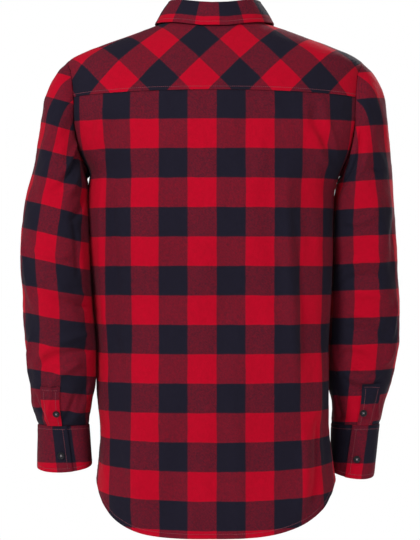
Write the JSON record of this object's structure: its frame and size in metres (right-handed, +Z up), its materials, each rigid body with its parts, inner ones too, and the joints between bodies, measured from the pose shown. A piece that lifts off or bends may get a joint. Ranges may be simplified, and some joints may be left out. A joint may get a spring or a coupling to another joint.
{
  "type": "shirt",
  "caption": "Long-sleeved plaid flannel shirt with a turned-down collar, bias yoke, buttoned front, curved tail and buttoned cuffs, filled out with no wearer.",
  "frame": {"origin": "middle of the neck opening, level with the neck seam, where a wearer's neck or a hanger carries the shirt", "axes": "+Z up, -Y out of the shirt's front, +X towards the wearer's left"},
  "size_m": [0.583, 0.2375, 0.8136],
  "materials": {
    "plaid_flannel": "brushed cotton twill in a red and near-black check",
    "plaid_bands": "the same cloth, doubled and topstitched",
    "button": "satin black"
  },
  "bodies": {
    "root": {"back": "plaid_flannel", "yoke": "plaid_flannel", "front_left": "plaid_flannel", "front_right": "plaid_flannel", "collar_leaf": "plaid_flannel", "sleeve_left": "plaid_flannel", "sleeve_right": "plaid_flannel", "sleeve_placket_left": "plaid_flannel", "sleeve_placket_right": "plaid_flannel", "placket_front": "plaid_bands", "collar_stand": "plaid_bands", "cuff_left": "plaid_bands", "cuff_right": "plaid_bands", "button_collar": "button", "button_front_2": "button", "button_front_3": "button", "button_front_4": "button", "button_front_5": "button", "button_front_6": "button", "button_front_7": "button", "button_cuff_left": "button", "button_cuff_right": "button", "button_sleeve_left": "button", "button_sleeve_right": "button"}
  },
  "joints": []
}
